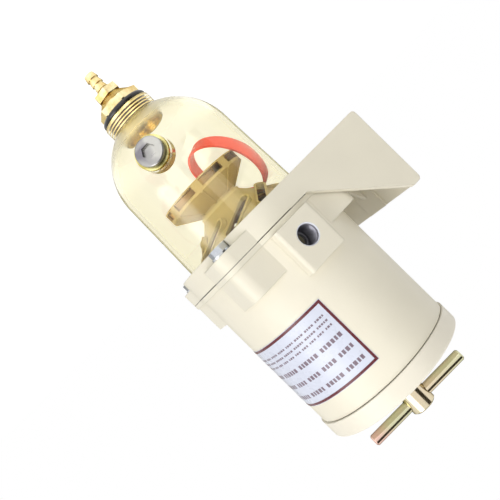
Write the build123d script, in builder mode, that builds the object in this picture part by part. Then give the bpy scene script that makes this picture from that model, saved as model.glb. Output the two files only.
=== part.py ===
"""Turbine fuel water separator: a cast barrel with a replaceable element, a clear bowl with a
turbine and drain below it, and a cast clamp ring that is also the wall bracket.

Millimetres. The origin is the centre of the four bracket bolts on the mounting face. +Z points
up towards the lid and -Y points away from the wall. Heights named below are measured from the
seam between the barrel and the clamp ring, and radii from the filter's own axis.
"""
from build123d import *
from math import cos, radians, sin, sqrt
import os

# Fits and clearances
press_gap = 0.05
running_gap = 0.1
seat_gap = 0.3
wrap_gap = 0.05

# Wall bracket
axis_standoff = 82.0
plate_top = 42.7
plate_bottom = -14.9
plate_t = 4.0
gusset_t = 4.0
gusset_shoulder = 7.0
bolt_spacing_x = 76.2
bolt_spacing_z = 32.0
bolt_hole_r = 4.5
pad_half_width = 11.0
pad_t = 1.2
rib_t = 4.0
rib_top = 31.5
rib_toe = 22.0
plate_corner_r = 2.5

# Clamp ring
ring_r = 51.0
ring_height = 14.3
ring_lug_t = 9.0
ring_recess_r = 47.2
ring_recess_depth = 8.0
ring_lip_r = 44.2

# Barrel casting
barrel_r = 50.0
barrel_wall = 3.5
barrel_height = 105.0
foot_t = 3.3
foot_square = 93.2
foot_corner_r = 9.0
lug_square = 91.4
lug_corner_r = 8.2
lug_top = 22.3
throat_r = 41.5
throat_t = 5.0
deck_bottom = 26.0
deck_t = 4.0
deck_slot_r = 41.3
deck_slot_length = 16.0
deck_slot_width = 5.0
deck_slot_count = 8

# Ports and galleries
port_face = 54.5
port_boss_width = 29.0
port_boss_top = 33.4
port_boss_fillet = 2.5
port_height = 16.6
port_r = 6.25
port_depth = 16.0
port_chamfer = 0.6
gallery_r = 5.2
gallery_wall = 4.8
hub_r = 12.0
hub_bottom = 2.0
hub_top = 36.0
drop_x = 21.5
drop_r = 9.8
drop_bottom = 0.0

# Turbine seat wall under the deck
seat_wall_r = 36.5
seat_wall_t = 3.5
seat_wall_bottom = -4.0
seat_shoulder = 6.5

# Check valve
ball_r = 4.75
ball_travel = 3.0
seat_r = 3.9
seat_height = 9.0
cage_r = 6.5
cage_wall = 1.1
cage_floor_t = 1.5
cage_window_width = 3.6
cage_window_height = 4.0
cage_drain_r = 2.6

# Clamp screws and washers
screw_spacing = 75.0
screw_r = 3.0
screw_engagement = 15.0
screw_hole_gap = 0.4
screw_head_flats = 10.0
screw_head_t = 4.0
washer_r = 6.3
washer_t = 1.2

# Lid and its gasket
lid_r = 51.1
lid_skirt_bottom = 105.4
lid_shoulder = 117.5
lid_crown = 120.0
lid_crown_r = 13.0
lid_edge_r = 1.8
lid_bulge = 0.8
lid_skin = 5.0
lid_rim_inner_r = 43.5
lid_boss_r = 11.0
lid_boss_drop = 6.0
gasket_inner_r = 46.4
gasket_outer_r = 49.4
gasket_groove = 2.0

# T-handle
handle_hub_r = 8.4
handle_top = 144.4
handle_bar_height = 137.7
handle_bar_r = 3.9
handle_bar_length = 76.0
handle_bar_heading = -67.0
handle_chamfer = 0.9
stud_r = 5.0
stud_reach = 26.0
stud_hole_gap = 0.3
handle_seal_r = 6.8
handle_seal_section = 0.9

# Return tube
tube_r = 8.0
tube_wall = 1.8
tube_seat = 20.0
tube_top = 104.0
tube_socket_depth = 16.0
tube_hole_r = 2.5
tube_hole_heights = (55.0, 72.0)

# Filter element
element_r = 40.0
element_cap_t = 2.2
element_top = 101.6
cap_lip_t = 1.2
cap_lip_height = 4.0
cap_hole_r = 11.0
grommet_t = 4.0
pleat_count = 36
pleat_outer_r = 38.4
pleat_inner_r = 23.4
core_r = 22.6
core_wall = 1.4
core_slot_width = 4.0
core_slot_height = 12.0

# Bail on the element
bail_r = 27.0
bail_wire_r = 1.2
bail_pin_length = 4.0
bail_height = 3.4
ear_t = 3.0
ear_width = 6.0
ear_crown = 2.0

# Clear bowl
bowl_wall = 3.0
bowl_top_r = 43.4
bowl_dome_r = 41.5
bowl_dome_height = -68.0
bowl_flange_r = 46.8
bowl_flange_t = 5.0
neck_r = 17.5
neck_bottom = -113.5

# Brass neck insert, adapter and O-ring
insert_r = 15.4
insert_bore_r = 12.6
insert_top = -98.0
seal_section = 2.0
seal_mid_r = 14.9
adapter_flats = 27.0
adapter_hex_t = 8.4
adapter_chamfer_t = 1.8
adapter_chamfer_r = 10.2
adapter_spigot_top = -101.0
adapter_bore_r = 4.5
adapter_counterbore_depth = 18.0

# Drain valve with a hose barb
valve_stem_r = 6.5
valve_stem_length = 16.0
valve_flats = 15.5
valve_hex_t = 4.7
valve_taper_t = 1.9
barb_stem_r = 3.4
barb_ridge_r = 4.2
barb_length = 12.3
barb_pitch = 4.2
barb_count = 3
valve_bore_r = 2.3
valve_groove_depth = 1.5
valve_groove_width = 2.0
valve_groove_inset = 4.0

# Probe port in the dome
probe_heading = 212.5
probe_drop = 13.0
probe_insert_r = 10.4
probe_insert_depth = 11.0
probe_insert_proud = 1.0
probe_thread_r = 6.0
probe_plug_length = 9.0
probe_head_r = 8.8
probe_head_t = 2.4
probe_socket_flats = 8.0
probe_socket_depth = 2.0
probe_seal_section = 0.6

# Turbine
turbine_wall = 2.2
turbine_skirt_r = 38.6
turbine_skirt_bottom = -8.2
turbine_gasket_t = 1.2
turbine_neck_r = 15.5
turbine_neck_top = -31.3
turbine_floor = -33.2
slot_count = 8
slot_heading = 200.0
slot_height = -18.5
slot_slant = 31.0
slot_length = 28.0
slot_width = 4.8
slot_lip = 1.4
slot_lip_height = 1.1

# Baffle below the turbine
baffle_collar_r = 14.5
baffle_collar_bottom = -34.6
baffle_r = 28.9
baffle_shoulder = -43.5
baffle_bottom = -50.8
baffle_wall = 2.0
baffle_spigot_r = 9.0
baffle_spigot_length = 5.0
window_count = 8
window_heading = 230.5
window_width = 16.6
window_height = 4.6
window_sill = 0.9
baffle_rib_t = 1.6
baffle_rib_height = 0.8

# Float band lying in the bowl
float_r = 25.9
float_t = 1.7
float_width = 7.6
float_heading = 82.0
float_out = 23.6
float_height = -46.0
float_lean = 22.0

# Data label
label_bottom = 45.0
label_top = 91.6
label_half_angle = 67.0
label_t = 0.2

# Places worked out from the sizes above
seam_z = -(plate_top + plate_bottom) / 2
deck_top = deck_bottom + deck_t
chamber_r = barrel_r - barrel_wall
bowl_flange_top = bowl_flange_t - ring_recess_depth
gusset_toe = sqrt(ring_r**2 - (ring_r - gusset_t - seat_gap) ** 2)
ball_seated = seat_height - sqrt(ball_r**2 - seat_r**2)
ball_rest = ball_seated - ball_travel
adapter_face = neck_bottom - 2 * seal_section
adapter_chamfer_top = adapter_face - adapter_hex_t
adapter_bottom = adapter_chamfer_top - adapter_chamfer_t
valve_head_top = adapter_bottom - seat_gap
element_bottom = hub_top + seat_gap
bail_pivot = element_top + bail_height
filter_axis = Axis((0, -axis_standoff, 0), (0, 0, 1))
section = Plane(origin=(0, -axis_standoff, seam_z), x_dir=(1, 0, 0), z_dir=(0, -1, 0))


def level(height):
    """A horizontal plane on the filter's axis, at a height above the seam."""
    return Plane(origin=(0, -axis_standoff, seam_z + height), z_dir=(0, 0, 1))


def radial_section(heading):
    """A plane through the filter's axis: x points outward along the heading and y points up."""
    outward = (cos(radians(heading)), sin(radians(heading)), 0)
    facing = (outward[1], -outward[0], 0)
    return Plane(origin=section.origin, x_dir=outward, z_dir=facing)


def facing_out(heading, out, height, tilt=0.0):
    """A plane that faces outward along a heading, at a distance from the axis and a height.

    Its x runs round the filter, its y runs up, and a positive tilt turns its face downward."""
    outward = Vector(cos(radians(heading)), sin(radians(heading)), 0)
    centre = section.origin + outward * out + Vector(0, 0, height)
    facing = outward * cos(radians(tilt)) - Vector(0, 0, sin(radians(tilt)))
    around = Vector(-outward.Y, outward.X, 0)
    return Plane(origin=centre, x_dir=around, z_dir=facing)


def band(inner_r, outer_r, bottom, top):
    """The section of a plain ring, ready to be revolved about the filter's axis."""
    with BuildSketch(section) as profile:
        with Locations(((inner_r + outer_r) / 2, (bottom + top) / 2)):
            Rectangle(outer_r - inner_r, top - bottom)
    return profile.sketch


def round_section(mid_r, height, section_r):
    """The section of an O-ring, ready to be revolved about the filter's axis."""
    with BuildSketch(section) as profile:
        with Locations((mid_r, height)):
            Circle(section_r)
    return profile.sketch


def keep(piece, name):
    """Label a finished piece and write it to its own file."""
    piece.part.label = name
    export_step(piece.part, f"parts/{name}.step")


# Barrel casting: foot, screw lugs and side port bosses outside, deck and galleries inside
with BuildPart() as body_housing:
    with BuildSketch(level(0)):
        Circle(barrel_r)
    extrude(amount=barrel_height)
    with BuildSketch(level(0)):
        RectangleRounded(lug_square, lug_square, lug_corner_r)
    extrude(amount=lug_top)
    with BuildSketch(level(foot_t)):
        Rectangle(2 * port_face, port_boss_width)
    extrude(amount=port_boss_top - foot_t)
    boss_edges = body_housing.edges().filter_by(Axis.Z).group_by(Axis.X)
    fillet(boss_edges[0] + boss_edges[-1], radius=port_boss_fillet)
    with BuildSketch(level(0)):
        Circle(ring_r)
        RectangleRounded(foot_square, foot_square, foot_corner_r)
    extrude(amount=foot_t)
    # Element chamber above the deck and open space below it
    with BuildSketch(level(deck_top)):
        Circle(chamber_r)
    extrude(amount=barrel_height - deck_top, mode=Mode.SUBTRACT)
    with BuildSketch(level(throat_t)):
        Circle(chamber_r)
    extrude(amount=deck_bottom - throat_t, mode=Mode.SUBTRACT)
    with BuildSketch(level(0)):
        Circle(throat_r)
    extrude(amount=throat_t, mode=Mode.SUBTRACT)
    # Wall that carries the turbine, with a shoulder for its gasket
    revolve(band(seat_wall_r - seat_wall_t, seat_wall_r, seat_wall_bottom, deck_bottom), filter_axis)
    revolve(band(seat_wall_r - seat_wall_t, turbine_skirt_r, seat_shoulder, deck_bottom), filter_axis)
    # Central hub, check valve drop and the two galleries
    with BuildSketch(level(hub_bottom)):
        Circle(hub_r)
    extrude(amount=hub_top - hub_bottom)
    with BuildSketch(level(drop_bottom)):
        with Locations((-drop_x, 0)):
            Circle(drop_r)
    extrude(amount=port_height - drop_bottom)
    with BuildSketch(facing_out(0, 0, port_height)):
        Circle(gallery_r + gallery_wall)
    extrude(amount=barrel_r - 1, both=True)
    with BuildSketch(level(tube_seat)):
        Circle(tube_r + press_gap)
    extrude(amount=hub_top - tube_seat, mode=Mode.SUBTRACT)
    with BuildSketch(level(port_height)):
        Circle(gallery_r)
    extrude(amount=tube_seat - port_height, mode=Mode.SUBTRACT)
    with BuildSketch(facing_out(0, 0, port_height)):
        Circle(gallery_r)
    extrude(amount=port_face, mode=Mode.SUBTRACT)
    with BuildSketch(facing_out(180, drop_x, port_height)):
        Circle(gallery_r)
    extrude(amount=port_face - drop_x, mode=Mode.SUBTRACT)
    for heading in (0, 180):
        with BuildSketch(facing_out(heading, port_face, port_height)):
            Circle(port_r)
        extrude(amount=-port_depth, mode=Mode.SUBTRACT)
        with BuildSketch(facing_out(heading, port_face, port_height)):
            Circle(port_r + port_chamfer)
        extrude(amount=-port_chamfer, taper=45, mode=Mode.SUBTRACT)
    # Seat above the check ball, with the cage pocket under it
    with BuildSketch(level(seat_height)):
        with Locations((-drop_x, 0)):
            Circle(seat_r)
    extrude(amount=port_height - seat_height, mode=Mode.SUBTRACT)
    with BuildSketch(level(drop_bottom)):
        with Locations((-drop_x, 0)):
            Circle(cage_r + press_gap)
    extrude(amount=seat_height - drop_bottom, mode=Mode.SUBTRACT)
    # Passages through the deck and threaded holes in the lugs
    with BuildSketch(level(deck_bottom)):
        with PolarLocations(deck_slot_r, deck_slot_count, start_angle=180 / deck_slot_count):
            SlotOverall(deck_slot_length, deck_slot_width, rotation=90)
    extrude(amount=deck_t, mode=Mode.SUBTRACT)
    with BuildSketch(level(0)):
        with GridLocations(screw_spacing, screw_spacing, 2, 2):
            Circle(screw_r + press_gap)
    extrude(amount=screw_engagement + 1, mode=Mode.SUBTRACT)
keep(body_housing, "body_housing")

# Clamp ring and wall bracket, cast in one
with BuildPart() as mounting_bracket:
    with BuildSketch(level(-ring_height)):
        Circle(ring_r)
    extrude(amount=ring_height)
    with BuildSketch(level(-ring_lug_t)):
        Circle(ring_r)
        RectangleRounded(foot_square, foot_square, foot_corner_r)
    extrude(amount=ring_lug_t)
    # Gussets: side walls that run straight back from the ring to the plate
    with BuildSketch(Plane(origin=section.origin, x_dir=(0, 1, 0), z_dir=(1, 0, 0))):
        with BuildLine():
            Polyline(
                (0, 0),
                (gusset_toe, 0),
                (axis_standoff - gusset_shoulder, plate_top),
                (axis_standoff, plate_top),
                (axis_standoff, plate_bottom),
                (0, -ring_height),
                close=True,
            )
        make_face()
    extrude(amount=ring_r, both=True)
    with BuildSketch(level(plate_bottom - 1)):
        with Locations((0, axis_standoff / 2 - plate_t)):
            Rectangle(2 * (ring_r - gusset_t), axis_standoff)
    extrude(amount=plate_top - plate_bottom + 2, mode=Mode.SUBTRACT)
    # Ring body again inside the gussets, then the plate's pad and centre rib
    with BuildSketch(level(-ring_height)):
        Circle(ring_r)
    extrude(amount=ring_height)
    with BuildSketch(level(-ring_lug_t)):
        RectangleRounded(foot_square, foot_square, foot_corner_r)
    extrude(amount=ring_lug_t)
    with BuildSketch(level(plate_bottom)):
        with Locations((0, axis_standoff - plate_t - pad_t / 2)):
            Rectangle(2 * pad_half_width, pad_t)
    extrude(amount=plate_top - plate_bottom)
    with BuildSketch(Plane(origin=section.origin, x_dir=(0, 1, 0), z_dir=(1, 0, 0))):
        with BuildLine():
            Polyline(
                (ring_r - 1, 0),
                (axis_standoff - rib_toe, 0),
                (axis_standoff - plate_t - pad_t, rib_top),
                (axis_standoff - plate_t, rib_top),
                (axis_standoff - plate_t, -ring_height),
                (ring_r - 1, -ring_height),
                close=True,
            )
        make_face()
    extrude(amount=rib_t / 2, both=True)
    corner_edges = mounting_bracket.edges().filter_by(Axis.X).group_by(Axis.Y)[-1]
    fillet(corner_edges, radius=plate_corner_r)
    # Bowl recess and lip, screw clearance holes and wall bolt holes
    with BuildSketch(level(-ring_recess_depth)):
        Circle(ring_recess_r)
    extrude(amount=ring_recess_depth, mode=Mode.SUBTRACT)
    with BuildSketch(level(-ring_height)):
        Circle(ring_lip_r)
    extrude(amount=ring_height, mode=Mode.SUBTRACT)
    with BuildSketch(level(-ring_height)):
        with GridLocations(screw_spacing, screw_spacing, 2, 2):
            Circle(washer_r + seat_gap)
    extrude(amount=ring_height - ring_lug_t, mode=Mode.SUBTRACT)
    with BuildSketch(level(-ring_height)):
        with GridLocations(screw_spacing, screw_spacing, 2, 2):
            Circle(screw_r + screw_hole_gap)
    extrude(amount=ring_height, mode=Mode.SUBTRACT)
    with BuildSketch(Plane(origin=(0, 0, 0), x_dir=(1, 0, 0), z_dir=(0, -1, 0))):
        with GridLocations(bolt_spacing_x, bolt_spacing_z, 2, 2):
            Circle(bolt_hole_r)
    extrude(amount=plate_t + 1, mode=Mode.SUBTRACT)
keep(mounting_bracket, "mounting_bracket")

# Four clamp screws and their washers, pushed up through the ring into the barrel's lugs
with BuildPart() as ring_screws:
    with BuildSketch(level(-ring_lug_t - washer_t)):
        with GridLocations(screw_spacing, screw_spacing, 2, 2):
            RegularPolygon(screw_head_flats / 2, 6, major_radius=False)
    extrude(amount=-screw_head_t)
    with BuildSketch(level(-ring_lug_t - washer_t)):
        with GridLocations(screw_spacing, screw_spacing, 2, 2):
            Circle(screw_r)
    extrude(amount=ring_lug_t + washer_t + screw_engagement)
keep(ring_screws, "ring_screws")

with BuildPart() as ring_screw_washers:
    with BuildSketch(level(-ring_lug_t - washer_t)):
        with GridLocations(screw_spacing, screw_spacing, 2, 2):
            Circle(washer_r)
        with GridLocations(screw_spacing, screw_spacing, 2, 2):
            Circle(screw_r + press_gap, mode=Mode.SUBTRACT)
    extrude(amount=washer_t)
keep(ring_screw_washers, "ring_screw_washers")

# Lid with a domed crown, a gasket groove and a boss for the stud
with BuildPart() as lid:
    stud_hole_r = stud_r + stud_hole_gap
    boss_bottom = lid_shoulder - lid_skin - lid_boss_drop
    seal_floor = lid_crown - 2 * handle_seal_section
    seal_pocket_r = handle_seal_r + handle_seal_section
    edge_inset = lid_edge_r * (1 - cos(radians(45)))
    edge_middle = (lid_r - edge_inset, lid_shoulder - edge_inset)
    crown_start = (lid_r - lid_edge_r, lid_shoulder)
    with BuildSketch(section):
        with BuildLine():
            Line((lid_r, lid_skirt_bottom), (lid_r, lid_shoulder - lid_edge_r))
            ThreePointArc((lid_r, lid_shoulder - lid_edge_r), edge_middle, crown_start)
            SagittaArc(crown_start, (lid_crown_r, lid_crown), -lid_bulge)
            Polyline(
                (lid_crown_r, lid_crown),
                (seal_pocket_r, lid_crown),
                (seal_pocket_r, seal_floor),
                (stud_hole_r, seal_floor),
                (stud_hole_r, boss_bottom),
                (lid_boss_r, boss_bottom),
                (lid_boss_r, lid_shoulder - lid_skin + 1),
                (lid_rim_inner_r, lid_shoulder - lid_skin),
                (lid_rim_inner_r, lid_skirt_bottom),
                (gasket_inner_r - running_gap, lid_skirt_bottom),
                (gasket_inner_r - running_gap, lid_skirt_bottom + gasket_groove),
                (gasket_outer_r + running_gap, lid_skirt_bottom + gasket_groove),
                (gasket_outer_r + running_gap, lid_skirt_bottom),
                (lid_r, lid_skirt_bottom),
            )
        make_face()
    revolve(axis=filter_axis)
keep(lid, "lid")

with BuildPart() as lid_gasket:
    gasket_bottom = barrel_height + seat_gap
    revolve(
        band(gasket_inner_r, gasket_outer_r, gasket_bottom, lid_skirt_bottom + gasket_groove),
        filter_axis,
    )
keep(lid_gasket, "lid_gasket")

# T-handle: hub and stud turned in one, with a plain bar pushed through the hub
with BuildPart() as t_handle_hub:
    hub_seat = lid_crown + seat_gap
    with BuildSketch(level(hub_seat)):
        Circle(handle_hub_r)
    extrude(amount=handle_top - hub_seat)
    chamfer(t_handle_hub.edges().group_by(Axis.Z)[0], length=handle_chamfer)
    chamfer(t_handle_hub.edges().group_by(Axis.Z)[-1], length=handle_chamfer)
    with BuildSketch(level(hub_seat)):
        Circle(stud_r)
    extrude(amount=-stud_reach)
    with BuildSketch(facing_out(handle_bar_heading, 0, handle_bar_height)):
        Circle(handle_bar_r + press_gap)
    extrude(amount=2 * handle_hub_r, both=True, mode=Mode.SUBTRACT)
keep(t_handle_hub, "t_handle_hub")

with BuildPart() as t_handle_bar:
    with BuildSketch(facing_out(handle_bar_heading, 0, handle_bar_height)):
        Circle(handle_bar_r)
    extrude(amount=handle_bar_length / 2, both=True)
    chamfer(t_handle_bar.edges().filter_by(GeomType.CIRCLE), length=handle_chamfer)
keep(t_handle_bar, "t_handle_bar")

with BuildPart() as t_handle_o_ring:
    revolve(
        round_section(handle_seal_r, lid_crown - handle_seal_section, handle_seal_section),
        filter_axis,
    )
keep(t_handle_o_ring, "t_handle_o_ring")

# Return tube: carries the element, takes the stud at its top and feeds the outlet gallery
with BuildPart() as return_tube:
    with BuildSketch(level(tube_seat)):
        Circle(tube_r)
    extrude(amount=tube_top - tube_seat)
    with BuildSketch(level(tube_seat)):
        Circle(tube_r - tube_wall)
    extrude(amount=tube_top - tube_socket_depth - tube_seat, mode=Mode.SUBTRACT)
    with BuildSketch(level(tube_top)):
        Circle(stud_r + running_gap)
    extrude(amount=-tube_socket_depth, mode=Mode.SUBTRACT)
    for height in tube_hole_heights:
        for heading in (0, 90):
            with BuildSketch(facing_out(heading, 0, height)):
                Circle(tube_hole_r)
            extrude(amount=2 * tube_r, both=True, mode=Mode.SUBTRACT)
keep(return_tube, "return_tube")

# Check valve: a ball in a slotted cage, under its seat in the inlet gallery
with BuildPart() as check_ball_cage:
    cage_floor = ball_rest - ball_r - cage_floor_t - running_gap
    with BuildSketch(level(cage_floor)):
        with Locations((-drop_x, 0)):
            Circle(cage_r)
    extrude(amount=seat_height - cage_floor)
    with BuildSketch(level(cage_floor + cage_floor_t)):
        with Locations((-drop_x, 0)):
            Circle(cage_r - cage_wall)
    extrude(amount=seat_height - cage_floor - cage_floor_t, mode=Mode.SUBTRACT)
    with BuildSketch(level(cage_floor)):
        with Locations((-drop_x, 0)):
            Circle(cage_drain_r)
    extrude(amount=cage_floor_t, mode=Mode.SUBTRACT)
    with BuildSketch(level(cage_floor + cage_floor_t)):
        with Locations((-drop_x, 0)):
            Rectangle(4 * cage_r, cage_window_width)
            Rectangle(cage_window_width, 4 * cage_r)
    extrude(amount=cage_window_height, mode=Mode.SUBTRACT)
keep(check_ball_cage, "check_ball_cage")

with BuildPart() as check_ball:
    with Locations(level(ball_rest).origin + Vector(-drop_x, 0, 0)):
        Sphere(ball_r)
keep(check_ball, "check_ball")

# Replaceable element: two capped ends, a pleated medium, a slotted core and two grommets
with BuildPart() as element_bottom_cap:
    media_bottom = element_bottom + element_cap_t
    revolve(band(cap_hole_r, element_r, element_bottom, media_bottom), filter_axis)
    revolve(
        band(element_r - cap_lip_t, element_r, element_bottom, element_bottom + cap_lip_height),
        filter_axis,
    )
keep(element_bottom_cap, "element_bottom_cap")

with BuildPart() as element_top_cap:
    media_top = element_top - element_cap_t
    revolve(band(cap_hole_r, element_r, media_top, element_top), filter_axis)
    revolve(
        band(element_r - cap_lip_t, element_r, element_top - cap_lip_height, element_top),
        filter_axis,
    )
    # Two ears that hold the bail
    with BuildSketch(level(element_top)):
        with Locations((-bail_r, 0), (bail_r, 0)):
            Rectangle(ear_t, ear_width)
    extrude(amount=bail_height + ear_crown)
    with BuildSketch(facing_out(0, 0, bail_pivot)):
        Circle(bail_wire_r + running_gap)
    extrude(amount=bail_r + ear_t, both=True, mode=Mode.SUBTRACT)
keep(element_top_cap, "element_top_cap")

with BuildPart() as element_media:
    with BuildSketch(level(media_bottom)):
        with BuildLine():
            pleat_points = []
            for pleat in range(pleat_count):
                for radius, phase in ((pleat_outer_r, 0.0), (pleat_inner_r, 0.5)):
                    turn = radians(360 * (pleat + phase) / pleat_count)
                    pleat_points.append((radius * cos(turn), radius * sin(turn)))
            Polyline(*pleat_points, close=True)
        make_face()
        Circle(core_r + running_gap, mode=Mode.SUBTRACT)
    extrude(amount=media_top - media_bottom)
keep(element_media, "element_media")

with BuildPart() as element_core:
    revolve(band(core_r - core_wall, core_r, media_bottom, media_top), filter_axis)
    for height in tube_hole_heights:
        for heading in (0, 90):
            with BuildSketch(facing_out(heading, 0, height)):
                SlotOverall(core_slot_height, core_slot_width, rotation=90)
            extrude(amount=2 * core_r, both=True, mode=Mode.SUBTRACT)
keep(element_core, "element_core")

with BuildPart() as element_lower_grommet:
    revolve(
        band(tube_r + running_gap, cap_hole_r, element_bottom, element_bottom + grommet_t),
        filter_axis,
    )
keep(element_lower_grommet, "element_lower_grommet")

with BuildPart() as element_upper_grommet:
    revolve(
        band(tube_r + running_gap, cap_hole_r, element_top - grommet_t, element_top), filter_axis
    )
keep(element_upper_grommet, "element_upper_grommet")

# Bail: a half ring of wire that lies flat on the element and lifts it by its two ears
with BuildPart() as element_bail:
    pin_inner = bail_r - bail_pin_length / 2
    with BuildSketch(facing_out(0, bail_r - bail_pin_length / 2, bail_pivot)):
        Circle(bail_wire_r)
    with BuildSketch(facing_out(180, bail_r - bail_pin_length / 2, bail_pivot)):
        Circle(bail_wire_r)
    extrude(amount=bail_pin_length + bail_wire_r)
    bow_r = pin_inner + bail_pin_length + bail_wire_r
    with BuildSketch(Plane(origin=level(bail_pivot).origin, x_dir=(1, 0, 0), z_dir=(0, -1, 0))):
        with Locations((bow_r, 0)):
            Circle(bail_wire_r)
    revolve(axis=Axis(level(bail_pivot).origin, (0, 0, 1)), revolution_arc=180)
keep(element_bail, "element_bail")

# Clear bowl: flange, slightly tapered wall, round dome, neck and probe boss hole
with BuildPart() as bowl:
    neck_top = bowl_dome_height - sqrt(bowl_dome_r**2 - neck_r**2)
    inner_dome_r = bowl_dome_r - bowl_wall
    inner_floor = bowl_dome_height - sqrt(inner_dome_r**2 - insert_r**2)
    diagonal = cos(radians(45))
    with BuildSketch(section):
        with BuildLine():
            Polyline(
                (bowl_top_r - bowl_wall, bowl_flange_top),
                (bowl_flange_r, bowl_flange_top),
                (bowl_flange_r, bowl_flange_top - bowl_flange_t),
                (bowl_top_r, bowl_flange_top - bowl_flange_t),
                (bowl_dome_r, bowl_dome_height),
            )
            ThreePointArc(
                (bowl_dome_r, bowl_dome_height),
                (bowl_dome_r * diagonal, bowl_dome_height - bowl_dome_r * diagonal),
                (neck_r, neck_top),
            )
            Polyline(
                (neck_r, neck_top),
                (neck_r, neck_bottom),
                (insert_r + press_gap, neck_bottom),
                (insert_r + press_gap, inner_floor),
            )
            ThreePointArc(
                (insert_r + press_gap, inner_floor),
                (inner_dome_r * diagonal, bowl_dome_height - inner_dome_r * diagonal),
                (inner_dome_r, bowl_dome_height),
            )
            Line((inner_dome_r, bowl_dome_height), (bowl_top_r - bowl_wall, bowl_flange_top))
        make_face()
    revolve(axis=filter_axis)
    with BuildSketch(facing_out(probe_heading, 0, bowl_dome_height, probe_drop)):
        Circle(probe_insert_r + press_gap)
    extrude(amount=2 * bowl_dome_r, mode=Mode.SUBTRACT)
keep(bowl, "bowl")

with BuildPart() as bowl_gasket:
    revolve(band(throat_r + 1, bowl_flange_r, bowl_flange_top, 0), filter_axis)
keep(bowl_gasket, "bowl_gasket")

# Probe port: a brass insert through the dome, closed by a socket plug on a small seal
probe_port = facing_out(probe_heading, 0, bowl_dome_height, probe_drop)
probe_face = bowl_dome_r + probe_insert_proud
with BuildPart() as probe_port_insert:
    with BuildSketch(probe_port.offset(probe_face)):
        Circle(probe_insert_r)
        Circle(probe_thread_r + press_gap, mode=Mode.SUBTRACT)
    extrude(amount=-probe_insert_depth)
keep(probe_port_insert, "probe_port_insert")

with BuildPart() as probe_plug_o_ring:
    plug_seat = probe_face + 2 * probe_seal_section
    with BuildSketch(probe_port.offset(plug_seat)):
        Circle(probe_head_r)
        Circle(probe_thread_r + press_gap, mode=Mode.SUBTRACT)
    extrude(amount=-2 * probe_seal_section)
keep(probe_plug_o_ring, "probe_plug_o_ring")

with BuildPart() as probe_port_plug:
    with BuildSketch(probe_port.offset(plug_seat)):
        Circle(probe_head_r)
    extrude(amount=probe_head_t)
    chamfer(probe_port_plug.edges().filter_by(GeomType.CIRCLE).sort_by(Axis.X)[0], length=0.6)
    with BuildSketch(probe_port.offset(plug_seat)):
        Circle(probe_thread_r)
    extrude(amount=-probe_plug_length)
    with BuildSketch(probe_port.offset(plug_seat + probe_head_t)):
        RegularPolygon(probe_socket_flats / 2, 6, major_radius=False)
    extrude(amount=-probe_socket_depth, mode=Mode.SUBTRACT)
keep(probe_port_plug, "probe_port_plug")

# Bowl drain: brass neck insert, O-ring, hex adapter and the turning barbed valve
with BuildPart() as neck_insert:
    revolve(band(insert_bore_r + press_gap, insert_r, neck_bottom, insert_top), filter_axis)
keep(neck_insert, "neck_insert")

with BuildPart() as drain_adapter:
    with BuildSketch(level(adapter_face)):
        RegularPolygon(adapter_flats / 2, 6, major_radius=False, rotation=6)
    extrude(amount=-adapter_hex_t)
    with BuildSketch(level(adapter_chamfer_top)):
        RegularPolygon(adapter_flats / 2, 6, major_radius=False, rotation=6)
    with BuildSketch(level(adapter_bottom)):
        Circle(adapter_chamfer_r)
    loft()
    with BuildSketch(level(adapter_face)):
        Circle(insert_bore_r)
    extrude(amount=adapter_spigot_top - adapter_face)
    with BuildSketch(level(adapter_bottom)):
        Circle(adapter_bore_r)
    extrude(amount=adapter_spigot_top - adapter_bottom, mode=Mode.SUBTRACT)
    with BuildSketch(level(adapter_bottom)):
        Circle(valve_stem_r + running_gap)
    extrude(amount=adapter_counterbore_depth, mode=Mode.SUBTRACT)
keep(drain_adapter, "drain_adapter")

with BuildPart() as drain_adapter_o_ring:
    revolve(round_section(seal_mid_r, neck_bottom - seal_section, seal_section), filter_axis)
keep(drain_adapter_o_ring, "drain_adapter_o_ring")

with BuildPart() as drain_valve:
    hex_bottom = valve_head_top - valve_hex_t
    barb_top = hex_bottom - valve_taper_t
    barb_bottom = barb_top - barb_length
    with BuildSketch(level(valve_head_top)):
        RegularPolygon(valve_flats / 2, 6, major_radius=False, rotation=20)
    extrude(amount=-valve_hex_t)
    with BuildSketch(level(valve_head_top)):
        Circle(valve_stem_r)
    extrude(amount=valve_stem_length)
    with BuildSketch(section):
        with BuildLine():
            barb_points = [(0, hex_bottom), (valve_flats / 2 - 1, hex_bottom)]
            barb_points.append((barb_ridge_r, barb_top))
            for ridge in range(barb_count):
                ridge_top = barb_bottom + (barb_count - ridge) * barb_pitch
                barb_points.append((barb_stem_r, ridge_top))
                barb_points.append((barb_ridge_r, ridge_top - 0.4))
                barb_points.append((barb_stem_r, ridge_top - barb_pitch + 0.4))
            barb_points.append((barb_stem_r, barb_bottom))
            barb_points.append((0, barb_bottom))
            Polyline(*barb_points, close=True)
        make_face()
    revolve(axis=filter_axis)
    groove_top = valve_head_top + valve_stem_length - valve_groove_inset
    revolve(
        band(
            valve_stem_r - valve_groove_depth,
            valve_stem_r + 1,
            groove_top - valve_groove_width,
            groove_top,
        ),
        filter_axis,
        mode=Mode.SUBTRACT,
    )
    with BuildSketch(level(barb_bottom)):
        Circle(valve_bore_r)
    extrude(amount=valve_head_top + valve_stem_length - barb_bottom, mode=Mode.SUBTRACT)
keep(drain_valve, "drain_valve")

with BuildPart() as drain_valve_o_ring:
    revolve(
        band(
            valve_stem_r - valve_groove_depth,
            valve_stem_r,
            groove_top - valve_groove_width,
            groove_top,
        ),
        filter_axis,
    )
keep(drain_valve_o_ring, "drain_valve_o_ring")

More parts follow.
